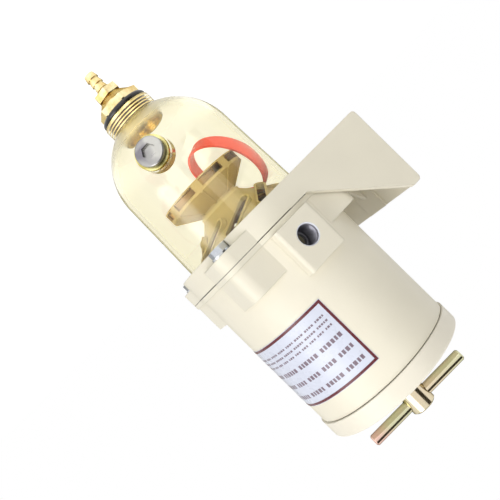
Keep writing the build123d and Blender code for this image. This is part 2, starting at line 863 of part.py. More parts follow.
# Turbine: a funnel with eight slanted slots, each with a raised lip round it
with BuildPart() as turbine_centrifuge:
    skirt_top = seat_shoulder - turbine_gasket_t
    skirt_inner_r = seat_wall_r + press_gap
    slope_wall = turbine_wall / cos(radians(45))
    floor_r = baffle_spigot_r + press_gap
    with BuildSketch(section):
        with BuildLine():
            Polyline(
                (turbine_skirt_r, skirt_top),
                (turbine_skirt_r, turbine_skirt_bottom),
                (turbine_neck_r, turbine_neck_top),
                (turbine_neck_r, turbine_floor),
                (floor_r, turbine_floor),
                (floor_r, turbine_floor + turbine_wall),
                (turbine_neck_r - turbine_wall, turbine_neck_top + slope_wall / 2),
                (skirt_inner_r, turbine_skirt_bottom + slope_wall / 2),
                (skirt_inner_r, skirt_top),
                close=True,
            )
        make_face()
    revolve(axis=filter_axis)
    slot_r = turbine_neck_r + slot_height - turbine_neck_top
    for slot in range(slot_count):
        slot_face = facing_out(slot_heading + 360 * slot / slot_count, slot_r, slot_height, 45)
        with BuildSketch(slot_face.offset(-turbine_wall)):
            SlotOverall(slot_length + 2 * slot_lip, slot_width + 2 * slot_lip, rotation=slot_slant)
        extrude(amount=turbine_wall + slot_lip_height)
    for slot in range(slot_count):
        slot_face = facing_out(slot_heading + 360 * slot / slot_count, slot_r, slot_height, 45)
        with BuildSketch(slot_face.offset(-2 * slope_wall)):
            SlotOverall(slot_length, slot_width, rotation=slot_slant)
        extrude(amount=4 * slope_wall, mode=Mode.SUBTRACT)
keep(turbine_centrifuge, "turbine_centrifuge")

with BuildPart() as turbine_gasket:
    revolve(band(skirt_inner_r, turbine_skirt_r, skirt_top, seat_shoulder), filter_axis)
keep(turbine_gasket, "turbine_gasket")

# Baffle: a ribbed flared cone with a windowed rim, plugged into the turbine's neck
with BuildPart() as water_baffle:
    spigot_top = turbine_floor + baffle_spigot_length
    with BuildSketch(section):
        with BuildLine():
            Polyline(
                (baffle_spigot_r - baffle_wall, spigot_top),
                (baffle_spigot_r, spigot_top),
                (baffle_spigot_r, turbine_floor),
                (baffle_collar_r, turbine_floor),
                (baffle_collar_r, baffle_collar_bottom),
                (baffle_r, baffle_shoulder),
                (baffle_r, baffle_bottom),
                (baffle_r - baffle_wall, baffle_bottom),
                (baffle_r - baffle_wall, baffle_shoulder - baffle_wall / 2),
                (baffle_collar_r - baffle_wall, baffle_collar_bottom - baffle_wall / 2),
                (baffle_spigot_r - baffle_wall, baffle_collar_bottom - baffle_wall / 2),
                close=True,
            )
        make_face()
    revolve(axis=filter_axis)
    for window in range(window_count):
        heading = window_heading + 360 * window / window_count
        with BuildSketch(radial_section(heading - 180 / window_count)):
            with BuildLine():
                Polyline(
                    (baffle_collar_r - 0.5, baffle_collar_bottom),
                    (baffle_collar_r, baffle_collar_bottom + baffle_rib_height),
                    (baffle_r, baffle_shoulder + baffle_rib_height),
                    (baffle_r, baffle_shoulder - 0.5),
                    close=True,
                )
            make_face()
        extrude(amount=baffle_rib_t / 2, both=True)
    for window in range(window_count):
        heading = window_heading + 360 * window / window_count
        window_mid = baffle_bottom + window_sill + window_height / 2
        with BuildSketch(facing_out(heading, baffle_r - 3 * baffle_wall, window_mid)):
            Rectangle(window_width, window_height)
        extrude(amount=6 * baffle_wall, mode=Mode.SUBTRACT)
keep(water_baffle, "water_baffle")

# Float band: a thin hoop that leans against the turbine at the back of the bowl
with BuildPart() as water_float_ring:
    with BuildSketch(facing_out(float_heading, float_out, float_height, float_lean)):
        Circle(float_r)
        Circle(float_r - float_t, mode=Mode.SUBTRACT)
    extrude(amount=float_width / 2, both=True)
keep(water_float_ring, "water_float_ring")

# Data label: a thin plate wrapped round the front of the barrel
with BuildPart() as data_label:
    label_inner_r = barrel_r + wrap_gap
    with BuildSketch(radial_section(-90 - label_half_angle)):
        with Locations((label_inner_r + label_t / 2, (label_bottom + label_top) / 2)):
            Rectangle(label_t, label_top - label_bottom)
    revolve(axis=filter_axis, revolution_arc=2 * label_half_angle)
keep(data_label, "data_label")
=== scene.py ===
"""Looks of the fuel water separator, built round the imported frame. Metres, +Z towards the lid."""

from math import atan2, ceil, cos, degrees, pi, radians, sin

import bmesh
import bpy
from mathutils import Matrix, Vector


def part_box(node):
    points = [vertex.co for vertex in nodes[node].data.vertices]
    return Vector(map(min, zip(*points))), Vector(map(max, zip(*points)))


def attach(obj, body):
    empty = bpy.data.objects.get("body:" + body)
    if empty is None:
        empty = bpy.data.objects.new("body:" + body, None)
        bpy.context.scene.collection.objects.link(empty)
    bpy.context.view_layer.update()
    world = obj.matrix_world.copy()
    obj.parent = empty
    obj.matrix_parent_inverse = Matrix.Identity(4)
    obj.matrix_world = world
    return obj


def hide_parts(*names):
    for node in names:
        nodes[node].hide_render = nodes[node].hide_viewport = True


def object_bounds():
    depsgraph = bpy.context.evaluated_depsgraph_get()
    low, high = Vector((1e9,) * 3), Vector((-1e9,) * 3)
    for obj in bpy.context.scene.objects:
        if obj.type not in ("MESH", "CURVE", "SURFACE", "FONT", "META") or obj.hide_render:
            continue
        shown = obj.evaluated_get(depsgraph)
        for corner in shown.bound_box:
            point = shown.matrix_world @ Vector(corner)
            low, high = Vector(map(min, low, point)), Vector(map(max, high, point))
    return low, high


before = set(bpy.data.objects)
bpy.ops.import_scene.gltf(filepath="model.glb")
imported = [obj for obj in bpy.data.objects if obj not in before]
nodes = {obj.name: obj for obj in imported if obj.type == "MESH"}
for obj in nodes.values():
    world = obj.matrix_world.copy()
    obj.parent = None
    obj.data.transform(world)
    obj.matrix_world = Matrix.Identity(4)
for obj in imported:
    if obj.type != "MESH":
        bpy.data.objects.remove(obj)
cad_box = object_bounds()

# Places read from the frame. The seam is the clamp ring's thickness above its washers.
ring_lug_t = 0.009
lid_low, lid_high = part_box("lid")
axis_x = (lid_low.x + lid_high.x) / 2
axis_y = (lid_low.y + lid_high.y) / 2
washer_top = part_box("ring_screw_washers")[1].z
seam_z = washer_top + ring_lug_t
baffle_low, baffle_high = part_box("water_baffle")
turbine_low, turbine_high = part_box("turbine_centrifuge")
label_low, label_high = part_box("data_label")

# The two side ports: height above the seam, radii about their axis, distances from the filter's
port_height = 0.0166
port_r = 0.00625
port_wall_r = port_r + 0.0001
port_edge_r = 0.0069
port_floor = 0.036
port_edge = 0.0539

# The joint line at the seam, where shadow is painted, and how far out the ring and the foot show it
seam_half = 0.0003
ring_reach = 0.0513
foot_reach = 0.064

# The baffle's windowed rim
rim_r = (baffle_high.x - baffle_low.x) / 2
rim_height = 0.0073
rim_bottom = baffle_low.z - seam_z
rim_top = rim_bottom + rim_height
window_count = 8
window_heading = radians(230.5)

# The turbine's cone, cone_r wide at cone_height, which widens by what it rises as far as its skirt
skirt_r = (turbine_high.x - turbine_low.x) / 2
cone_r = 0.0155
cone_height = -0.0313

# The skin of the turbine and the baffle that keeps their outer colour; deeper in, painted shade
# darkens them
lit_depth = 0.0012

# Heights between which the bowl is hazy near its neck
haze_top = -0.088
haze_full = -0.098
haze_low = -0.1035
haze_bottom = -0.1065

# The photograph's camera, level with the seam, 23 degrees round from the inlet side to the front
view_distance = 0.418
view_turn = radians(23)
view_shift = 0.0072
view_roll = radians(134.43)
view_lens = 48.65
sensor = 36.0
towards_camera = Vector((-cos(view_turn), -sin(view_turn), 0))
camera_right = Vector((sin(view_turn), -cos(view_turn), 0))

# Studio values
world_strength = 0.30
floor_drop = 0.25
floor_half = 6.0
floor_lift = 0.72


# Mesh helpers

# Degrees between two faces from which their edge stays sharp, on added pieces and on CAD nodes
piece_edge = 35
cad_edge = 32


def on_axis(height):
    """The point on the filter's axis at a height above the seam."""
    return Vector((axis_x, axis_y, seam_z + height))


def finish_mesh(name, bm, material, body, smooth_angle=piece_edge):
    """Turn a bmesh into a piece that rides on a body, smooth between its sharp edges."""
    bmesh.ops.recalc_face_normals(bm, faces=bm.faces)
    mesh = bpy.data.meshes.new(name)
    bm.to_mesh(mesh)
    bm.free()
    mesh.shade_smooth()
    mesh.set_sharp_from_angle(angle=radians(smooth_angle))
    piece = bpy.data.objects.new(name, mesh)
    bpy.context.scene.collection.objects.link(piece)
    mesh.materials.append(material)
    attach(piece, body)
    return piece


def add_lathe(bm, profile, steps, centre):
    """Add a closed turned form about a vertical axis, from a closed loop of radius, height."""
    rings = []
    for step in range(steps):
        turn = 2 * pi * step / steps
        ring = [
            bm.verts.new((centre.x + r * cos(turn), centre.y + r * sin(turn), centre.z + z))
            for r, z in profile
        ]
        rings.append(ring)
    count = len(profile)
    for step in range(steps):
        here, there = rings[step], rings[(step + 1) % steps]
        for k in range(count):
            bm.faces.new((here[k], here[(k + 1) % count], there[(k + 1) % count], there[k]))


def add_wrapped_plate(bm, inner_r, outer_r, bottom, top, start, end, steps):
    """Add a thin plate wrapped round the filter's axis between two headings in degrees."""
    columns = []
    for step in range(steps + 1):
        turn = radians(start + (end - start) * step / steps)
        corners = ((inner_r, bottom), (outer_r, bottom), (outer_r, top), (inner_r, top))
        column = [
            bm.verts.new((axis_x + r * cos(turn), axis_y + r * sin(turn), seam_z + z))
            for r, z in corners
        ]
        columns.append(column)
    for here, there in zip(columns, columns[1:]):
        for k in range(4):
            bm.faces.new((here[k], here[(k + 1) % 4], there[(k + 1) % 4], there[k]))
    bm.faces.new(columns[0])
    bm.faces.new(columns[-1][::-1])


def add_thread(bm, frame_matrix, root_r, height, pitch, length, steps=40):
    """Add a helical ridge along the local z of a frame, from its origin.

    A negative height points inward."""
    total = int(steps * length / pitch)
    half_foot = 0.42 * pitch
    rows = []
    for step in range(total + 1):
        turn = 2 * pi * step / steps
        rise = length * step / total
        fade = min(1.0, step / steps, (total - step) / steps)
        section = (
            (root_r, rise - half_foot * fade),
            (root_r + height * fade, rise),
            (root_r, rise + half_foot * fade),
        )
        row = [
            bm.verts.new(frame_matrix @ Vector((r * cos(turn), r * sin(turn), z)))
            for r, z in section
        ]
        rows.append(row)
    for here, there in zip(rows, rows[1:]):
        for k in range(3):
            bm.faces.new((here[k], here[(k + 1) % 3], there[(k + 1) % 3], there[k]))


# Material helpers

# The tint of brass where it is seen at a grazing angle
brass_graze = (0.35, 0.28, 0.16, 1.0)


class Shader:
    """A material with a Principled shader and short ways to add the nodes that feed it."""

    def __init__(self, name, colour, roughness, metallic=0.0):
        self.material = bpy.data.materials.new(name)
        self.material.use_nodes = True
        self.tree = self.material.node_tree
        self.bsdf = self.tree.nodes["Principled BSDF"]
        self.set("Base Color", (*colour, 1.0))
        self.set("Roughness", roughness)
        self.set("Metallic", metallic)
        self.place = self.add("ShaderNodeTexCoord").outputs["Object"]

    def set(self, socket, value):
        self.bsdf.inputs[socket].default_value = value

    def add(self, kind, **values):
        node = self.tree.nodes.new(kind)
        for key, value in values.items():
            setattr(node, key, value)
        return node

    def link(self, output, target):
        self.tree.links.new(output, target)

    def feed(self, output, socket):
        self.link(output, self.bsdf.inputs[socket])

    def noise(self, scale, detail=3.0, roughness=0.5, stretch=None, distortion=0.0):
        """Noise by object place. Scale is repeats a metre."""
        place = self.place
        if stretch:
            mapping = self.add("ShaderNodeMapping")
            mapping.inputs["Scale"].default_value = stretch
            self.link(place, mapping.inputs["Vector"])
            place = mapping.outputs["Vector"]
        node = self.add("ShaderNodeTexNoise")
        self.link(place, node.inputs["Vector"])
        node.inputs["Scale"].default_value = scale
        node.inputs["Detail"].default_value = detail
        node.inputs["Roughness"].default_value = roughness
        node.inputs["Distortion"].default_value = distortion
        return node.outputs["Fac"]

    def ramp(self, fac, *stops):
        """A colour ramp from stops of place, colour."""
        node = self.add("ShaderNodeValToRGB")
        self.link(fac, node.inputs["Fac"])
        while len(node.color_ramp.elements) < len(stops):
            node.color_ramp.elements.new(0.5)
        for element, (place, colour) in zip(node.color_ramp.elements, stops):
            element.position = place
            element.color = (*colour, 1.0)
        return node.outputs["Color"]

    def spread(self, fac, low, high, from_low=0.3, from_high=0.7):
        """Map a value to a range."""
        node = self.add("ShaderNodeMapRange")
        self.link(fac, node.inputs["Value"])
        node.inputs["From Min"].default_value = from_low
        node.inputs["From Max"].default_value = from_high
        node.inputs["To Min"].default_value = low
        node.inputs["To Max"].default_value = high
        return node.outputs["Result"]

    def mix(self, fac, first, second):
        """Blend a colour socket towards a fixed colour."""
        node = self.add("ShaderNodeMix", data_type="RGBA")
        self.link(fac, node.inputs[0])
        self.link(first, node.inputs[6])
        node.inputs[7].default_value = (*second, 1.0)
        return node.outputs[2]

    def math(self, operation, first, second=None):
        node = self.add("ShaderNodeMath", operation=operation)
        for k, value in enumerate((first, second)):
            if value is None:
                continue
            if isinstance(value, (int, float)):
                node.inputs[k].default_value = value
            else:
                self.link(value, node.inputs[k])
        return node.outputs["Value"]

    def bumps(self, *heights, edge=0.0):
        """Chain bumps of height, strength, depth in metres, over softened edges."""
        normal = None
        if edge:
            soft = self.add("ShaderNodeBevel", samples=4)
            soft.inputs["Radius"].default_value = edge
            normal = soft.outputs["Normal"]
        for height, strength, depth in heights:
            bump = self.add("ShaderNodeBump")
            self.link(height, bump.inputs["Height"])
            bump.inputs["Strength"].default_value = strength
            bump.inputs["Distance"].default_value = depth
            if normal:
                self.link(normal, bump.inputs["Normal"])
            normal = bump.outputs["Normal"]
        self.feed(normal, "Normal")

    def offsets(self, x, y, z):
        """The place's distances from a point along x, y and z."""
        split = self.add("ShaderNodeSeparateXYZ")
        self.link(self.place, split.inputs["Vector"])
        parts = (("X", x), ("Y", y), ("Z", z))
        return [self.math("SUBTRACT", split.outputs[part], value) for part, value in parts]

    def sum_of_squares(self, first, second):
        squares = [self.math("MULTIPLY", value, value) for value in (first, second)]
        return self.math("ADD", *squares)

    def round_place(self):
        """The distance from the filter's axis and the height above the seam."""
        out_x, out_y, height = self.offsets(axis_x, axis_y, seam_z)
        return self.math("SQRT", self.sum_of_squares(out_x, out_y)), height


def srgb(red, green, blue):
    """A colour given as 0 to 255 values, as linear light."""
    def linear(value):
        value /= 255
        return value / 12.92 if value <= 0.04045 else ((value + 0.055) / 1.055) ** 2.4
    return linear(red), linear(green), linear(blue)


def shade(colour, factor):
    """A colour made lighter or darker."""
    return tuple(min(1.0, channel * factor) for channel in colour)


def near_port_axis(coat, reach, beyond):
    """One within a reach of the side ports' axis and beyond a distance from the filter's axis."""
    off_x, off_y, off_z = coat.offsets(axis_x, axis_y, seam_z + port_height)
    near = coat.math("LESS_THAN", coat.sum_of_squares(off_y, off_z), reach**2)
    outside = coat.math("GREATER_THAN", coat.math("ABSOLUTE", off_x), beyond)
    return coat.math("MULTIPLY", near, outside)


def seam_line(coat, reach):
    """One on the joint line's painted shadow, between the barrel's foot and the clamp ring, out to
    a radius.
    """
    radius, height = coat.round_place()
    level = coat.math("LESS_THAN", coat.math("ABSOLUTE", height), seam_half)
    return coat.math("MULTIPLY", level, coat.math("LESS_THAN", radius, reach))


def powder_coat(name, colour, ports=False, seam=0.0):
    """Cream powder coat on a casting: faint orange peel, faint mottling, soft edges.

    It can leave the ports bare, with painted shade in their bores, and paint a shadow
    on the joint line at the seam, out to a radius."""
    coat = Shader(name, colour, 0.42)
    mottle = coat.noise(18, 4)
    base = coat.ramp(mottle, (0.3, shade(colour, 0.965)), (0.7, shade(colour, 1.03)))
    if ports:
        # Bare metal in the bores, darkened as painted shade; the machined edge is bare metal's own
        # colour
        base = coat.mix(near_port_axis(coat, port_wall_r, port_floor), base, shaded_bare_bore)
        base = coat.mix(near_port_axis(coat, port_edge_r, port_edge), base, bare_edge)
    if seam:
        # Painted shadow along the joint line at the seam
        base = coat.mix(seam_line(coat, seam), base, seam_shadow)
    coat.feed(base, "Base Color")
    coat.feed(coat.spread(coat.noise(160, 3), 0.36, 0.48), "Roughness")
    coat.set("Specular IOR Level", 0.45)
    coat.bumps(
        (coat.noise(900, 2), 0.22, 0.00012),
        (coat.noise(90, 2), 0.10, 0.0004),
        edge=0.0008,
    )
    return coat.material


def turned_brass(name, colour, dark):
    """Turned brass: rings left by the tool, a little darkening."""
    brass = Shader(name, colour, 0.24, 1.0)
    tarnish = brass.noise(120, 4)
    brass.feed(brass.ramp(tarnish, (0.35, dark), (0.6, colour)), "Base Color")
    brass.set("Specular Tint", brass_graze)
    brass.feed(brass.spread(brass.noise(400, 3), 0.16, 0.32), "Roughness")
    brass.bumps((brass.noise(40, 2, stretch=(1, 1, 90)), 0.12, 0.0002), edge=0.0003)
    return brass.material


def grooved_brass(name, colour, dark, groove_top, groove_floor):
    """Turned brass with painted shade between two radii, where its grooves are."""
    brass = Shader(name, colour, 0.26, 1.0)
    radius = brass.round_place()[0]
    below = brass.math("LESS_THAN", radius, groove_top)
    sunk = brass.math("MULTIPLY", below, brass.math("GREATER_THAN", radius, groove_floor))
    tone = brass.ramp(brass.noise(120, 4), (0.35, shade(colour, 0.85)), (0.65, colour))
    brass.feed(brass.mix(sunk, tone, dark), "Base Color")
    brass.set("Specular Tint", brass_graze)
    brass.bumps((brass.noise(40, 2, stretch=(1, 1, 90)), 0.12, 0.0002), edge=0.0002)
    return brass.material


def plated(name, colour, tints, roughness, cloud_scale=70):
    """Plated steel with faint cloudy tints."""
    plate = Shader(name, colour, roughness, 1.0)
    cloud = plate.noise(cloud_scale, 2, distortion=0.6)
    plate.feed(plate.ramp(cloud, *tints), "Base Color")
    plate.set("Specular Tint", (0.12, 0.12, 0.10, 1.0))
    plate.feed(plate.spread(plate.noise(300, 3), roughness * 0.7, roughness * 1.3), "Roughness")
    plate.bumps((plate.noise(35, 2, stretch=(1, 1, 60)), 0.08, 0.0002), edge=0.0003)
    return plate.material


def turbine_shaded_inside(plastic):
    """Painted shade: one on the hollow side of the turbine's cone, whose outer radius grows with
    its height.
    """
    radius, height = plastic.round_place()
    outer = plastic.math("ADD", height, cone_r - cone_height)
    outer = plastic.math("MINIMUM", outer, skirt_r)
    return plastic.math("LESS_THAN", radius, plastic.math("SUBTRACT", outer, lit_depth))


def baffle_shaded_inside(plastic):
    """Painted shade: one behind the baffle's windowed rim and under its cone."""
    radius, height = plastic.round_place()
    under = plastic.math("LESS_THAN", height, rim_top)
    return plastic.math("MULTIPLY", under, plastic.math("LESS_THAN", radius, rim_r - lit_depth))


def moulded(name, colour, roughness=0.5, variation=0.08, glow=0.0, shaded_side=None, inner_shade=None):
    """Moulded plastic: even colour, faint flow marks, fine grain, and painted shade on an inner
    side.
    """
    plastic = Shader(name, colour, roughness)
    flow = plastic.noise(45, 3, distortion=0.8)
    low, high = shade(colour, 1 - variation), shade(colour, 1 + variation)
    base = plastic.ramp(flow, (0.3, low), (0.7, high))
    if shaded_side:
        # Painted shade: the inner side takes a darker colour, standing in for shade in the hollow
        base = plastic.mix(shaded_side(plastic), base, inner_shade)
    plastic.feed(base, "Base Color")
    sheen = plastic.spread(plastic.noise(220, 3), roughness * 0.85, roughness * 1.15)
    plastic.feed(sheen, "Roughness")
    plastic.bumps((plastic.noise(1400, 2), 0.10, 0.00008), edge=0.0004)
    if glow:
        plastic.set("Subsurface Weight", glow)
        plastic.set("Subsurface Radius", (0.004, 0.0015, 0.001))
        plastic.set("Subsurface Scale", 1.0)
    return plastic.material


def rubber(name):
    """Black rubber with a soft sheen."""
    black = Shader(name, srgb(28, 27, 27), 0.22)
    dust = black.noise(150, 4)
    black.feed(black.ramp(dust, (0.4, srgb(22, 21, 21)), (0.75, srgb(46, 44, 43))), "Base Color")
    black.bumps((black.noise(900, 2), 0.15, 0.0001), edge=0.0003)
    return black.material


def clear_polymer(name):
    """Pale amber clear polymer, tinted by its thickness, hazy near the bowl's neck.

    It lets the lamps through to what it holds."""
    clear = Shader(name, (1.0, 1.0, 1.0), 0.02)
    clear.set("Transmission Weight", 1.0)
    clear.set("IOR", 1.49)
    height = clear.round_place()[1]
    below = clear.spread(height, 0.30, 0.0, haze_full, haze_top)
    above = clear.spread(height, 0.0, 1.0, haze_bottom, haze_low)
    hazy = clear.math("MULTIPLY", below, above)
    clear.feed(clear.math("ADD", clear.spread(clear.noise(60, 3), 0.01, 0.03), hazy), "Roughness")
    clear.bumps((clear.noise(30, 2), 0.03, 0.0003))
    output = clear.tree.nodes["Material Output"]
    path = clear.add("ShaderNodeLightPath")
    through = clear.add("ShaderNodeBsdfTransparent")
    through.inputs["Color"].default_value = (0.97, 0.95, 0.88, 1.0)
    either = clear.add("ShaderNodeMixShader")
    clear.link(path.outputs["Is Shadow Ray"], either.inputs["Fac"])
    clear.link(clear.bsdf.outputs["BSDF"], either.inputs[1])
    clear.link(through.outputs["BSDF"], either.inputs[2])
    clear.link(either.outputs["Shader"], output.inputs["Surface"])
    tint = clear.add("ShaderNodeVolumeAbsorption")
    tint.inputs["Color"].default_value = (0.84, 0.73, 0.12, 1.0)
    tint.inputs["Density"].default_value = 70.0
    clear.link(tint.outputs["Volume"], output.inputs["Volume"])
    return clear.material


def filter_paper(name):
    """Resin treated paper of the pleated medium."""
    paper = Shader(name, srgb(176, 192, 176), 0.85)
    fibre = paper.noise(700, 5, stretch=(1, 1, 0.3))
    tone = paper.ramp(fibre, (0.3, srgb(156, 172, 158)), (0.7, srgb(190, 204, 186)))
    paper.feed(tone, "Base Color")
    paper.bumps((fibre, 0.4, 0.0002))
    return paper.material


def film(name, colour, roughness=0.3):
    """Printed film of the label."""
    sheet = Shader(name, colour, roughness)
    tone = sheet.ramp(sheet.noise(30, 2), (0.3, shade(colour, 0.97)), (0.7, shade(colour, 1.03)))
    sheet.feed(tone, "Base Color")
    sheet.feed(sheet.spread(sheet.noise(200, 2), roughness * 0.8, roughness * 1.2), "Roughness")
    return sheet.material


def dress(name, material):
    """Give a CAD node its finished material and smooth shading between sharp edges."""
    mesh = nodes[name].data
    mesh.materials.clear()
    mesh.materials.append(material)
    mesh.shade_smooth()
    mesh.set_sharp_from_angle(angle=radians(cad_edge))


# Materials of the CAD nodes and of what is added to them
# Bare metal of the port bores, darkened as painted shade; the bare edge is the machined chamfer
shaded_bare_bore = srgb(150, 149, 158)
bare_edge = srgb(214, 216, 224)
seam_shadow = srgb(70, 64, 54)
casting_cream = srgb(226, 220, 202)
cream = powder_coat("cream_powder_coat", casting_cream, seam=ring_reach)
cream_body = powder_coat("cream_body", casting_cream, ports=True, seam=foot_reach)
cream_lid = powder_coat("cream_lid", srgb(228, 222, 206))
brass_bright = turned_brass("bright_brass", srgb(252, 238, 190), srgb(214, 184, 120))
brass_pale = turned_brass("pale_brass", srgb(236, 226, 160), srgb(176, 164, 100))
# The threads' bare metal, darkened as painted shade inside the ports
port_metal = plated(
    "port_thread",
    shaded_bare_bore,
    ((0.3, srgb(128, 127, 136)), (0.7, srgb(160, 159, 168))),
    0.45,
)
zinc = plated(
    "bright_zinc",
    srgb(206, 210, 216),
    ((0.3, srgb(188, 196, 208)), (0.7, srgb(222, 222, 220))),
    0.22,
)
yellow_zinc = plated(
    "yellow_zinc",
    srgb(196, 182, 138),
    (
        (0.34, srgb(232, 216, 186)),
        (0.44, srgb(216, 216, 178)),
        (0.52, srgb(228, 208, 180)),
        (0.60, srgb(236, 200, 184)),
    ),
    0.14,
    cloud_scale=22,
)
nickel = plated(
    "nickel",
    srgb(150, 148, 146),
    ((0.35, srgb(124, 121, 128)), (0.6, srgb(184, 183, 178))),
    0.34,
)
steel_ball = plated(
    "ball_steel",
    srgb(214, 214, 214),
    ((0.3, srgb(206, 206, 206)), (0.7, srgb(220, 220, 220))),
    0.12,
)
tan = moulded("tan_nylon", srgb(182, 160, 104), 0.5, 0.10, glow=0.08)
# The turbine's inner colour is painted shade inside its hollow cone
tan_turbine = moulded(
    "tan_turbine",
    srgb(190, 172, 116),
    0.5,
    0.10,
    glow=0.04,
    shaded_side=turbine_shaded_inside,
    inner_shade=srgb(122, 84, 50),
)
# The baffle's tan is darker than the other tan parts as painted shade, and its inner colour is
# painted shade behind the windows
tan_baffle = moulded(
    "tan_baffle",
    srgb(172, 150, 98),
    0.5,
    0.10,
    glow=0.04,
    shaded_side=baffle_shaded_inside,
    inner_shade=srgb(156, 118, 66),
)
tan_vane = moulded("tan_vane", srgb(204, 168, 104), 0.5, 0.12)
red = moulded("red_plastic", srgb(238, 84, 66), 0.42, 0.06, glow=0.25)
dark_cap = moulded("dark_cap", srgb(58, 60, 64), 0.5)
dark_core = moulded("dark_core", srgb(72, 72, 74), 0.55)
black_rubber = rubber("black_rubber")
clear_bowl = clear_polymer("clear_bowl")
paper = filter_paper("filter_paper")
label_field = film("label_field", srgb(204, 208, 222))
label_red = film("label_border", srgb(92, 26, 36))
label_grey = film("label_print", srgb(120, 104, 116))

finishes = {
    "body_housing": cream_body,
    "mounting_bracket": cream,
    "lid": cream_lid,
    "ring_screws": zinc,
    "ring_screw_washers": zinc,
    "lid_gasket": black_rubber,
    "bowl_gasket": black_rubber,
    "turbine_gasket": black_rubber,
    "t_handle_o_ring": black_rubber,
    "drain_adapter_o_ring": black_rubber,
    "drain_valve_o_ring": black_rubber,
    "probe_plug_o_ring": black_rubber,
    "element_lower_grommet": black_rubber,
    "element_upper_grommet": black_rubber,
    "t_handle_hub": yellow_zinc,
    "t_handle_bar": yellow_zinc,
    "return_tube": zinc,
    "check_ball_cage": tan,
    "check_ball": steel_ball,
    "element_bottom_cap": dark_cap,
    "element_top_cap": dark_cap,
    "element_media": paper,
    "element_core": dark_core,
    "element_bail": zinc,
    "bowl": clear_bowl,
    "neck_insert": brass_bright,
    "drain_adapter": brass_bright,
    "drain_valve": brass_bright,
    "probe_port_insert": brass_pale,
    "probe_port_plug": nickel,
    "turbine_centrifuge": tan_turbine,
    "water_baffle": tan_baffle,
    "water_float_ring": red,
    "data_label": label_field,
}
for node_name, finish in finishes.items():
    dress(node_name, finish)


# Label: a border frame and rows of plain dashes on the bare field

label_bottom = label_low.z - seam_z
label_top = label_high.z - seam_z
label_r = axis_y - label_low.y
label_half = degrees(atan2(label_high.x - axis_x, axis_y - label_high.y))
ink_gap = 0.00001
ink_t = 0.00005
border_inset = 0.0003
border_line = 0.0016
row_margin = 0.0048
group_spacing = 3.5

# Degrees that one facet of a printed strip spans at most
strip_facet = 3

# Each row: its drop from the label's top, the lengths of its dashes, and the dashes in a group
heavy_rows = (
    (0.0059, (0.0019, 0.0015, 0.0022), 5),
    (0.0146, (0.0016, 0.0021, 0.0018), 4),
    (0.0233, (0.0022, 0.0015, 0.0019), 6),
)
fine_rows = (
    (0.0312, (0.0011, 0.0015, 0.0009), 3),
    (0.0346, (0.0014, 0.0009, 0.0012), 5),
    (0.0380, (0.0009, 0.0013, 0.0015), 4),
)
heavy_height = 0.0027
heavy_gap = 0.0009
fine_height = 0.0012
fine_gap = 0.0005


def add_strip(bm, bottom, top, start, end):
    """A printed strip on the label, its headings counted from the label's left edge in degrees."""
    left = -90 - label_half
    steps = max(2, ceil((end - start) / strip_facet))
    inner_r, outer_r = label_r + ink_gap, label_r + ink_t
    add_wrapped_plate(bm, inner_r, outer_r, bottom, top, left + start, left + end, steps)


def add_row(bm, drop, height, lengths, gap, group):
    """A row of dashes of given lengths, in groups, round the label at a drop from its top.

    The gap between groups is wider than the one between dashes."""
    across = radians(2 * label_half) * label_r
    top = label_top - drop
    place, k = row_margin, 0
    while place + lengths[k % len(lengths)] < across - row_margin:
        length = lengths[k % len(lengths)]
        start, end = degrees(place / label_r), degrees((place + length) / label_r)
        add_strip(bm, top - height, top, start, end)
        k += 1
        place += length + gap * (1 if k % group else group_spacing)


def make_label_print():
    """The border along the label's edge, three rows of heavy dashes and three of fine ones."""
    line = border_line
    turn_line = degrees(line / label_r)
    left = degrees(border_inset / label_r)
    right = 2 * label_half - left
    low, high = label_bottom + border_inset, label_top - border_inset
    border = bmesh.new()
    add_strip(border, low, low + line, left, right)
    add_strip(border, high - line, high, left, right)
    add_strip(border, low + line, high - line, left, left + turn_line)
    add_strip(border, low + line, high - line, right - turn_line, right)
    finish_mesh("label_border", border, label_red, "housing")
    dashes = bmesh.new()
    for drop, lengths, group in heavy_rows:
        add_row(dashes, drop, heavy_height, lengths, heavy_gap, group)
    for drop, lengths, group in fine_rows:
        add_row(dashes, drop, fine_height, lengths, fine_gap, group)
    finish_mesh("label_dashes", dashes, label_grey, "housing")


make_label_print()


# Threads in the open ports

thread_start = 0.0007
thread_height = 0.0006
thread_pitch = 0.0015
thread_length = 0.0135


def make_port_threads():
    """A helical thread inside each port."""
    port_z = seam_z + port_height
    for name, side in (("inlet_thread", -1), ("outlet_thread", 1)):
        mouth = axis_x + side * port_edge
        inward = Vector((-side, 0, 0))
        up = Vector((0, 0, 1))
        across = up.cross(inward)
        place = Matrix((across, up, inward)).transposed().to_4x4()
        place.translation = Vector((mouth, axis_y, port_z)) + inward * thread_start
        bm = bmesh.new()
        add_thread(bm, place, port_r, -thread_height, thread_pitch, thread_length)
        finish_mesh(name, bm, port_metal, "housing")


make_port_threads()


# Grooved brass insert in the bowl's neck

insert_press = 0.0001
insert_bore_r = 0.01265
insert_chamfer = 0.0006
groove_count = 5
groove_pitch = 0.0019
groove_depth = 0.0005
first_groove = 0.0005
neck_steps = 96

# Where a groove starts, reaches its depth, leaves it and ends, in shares of the pitch
groove_shape = ((0.40, 0.0), (0.50, 1.0), (0.85, 1.0), (0.95, 0.0))

# Depths between which the grooves are darkened as painted shade
shadow_start = 0.0002
shadow_end = 0.0008


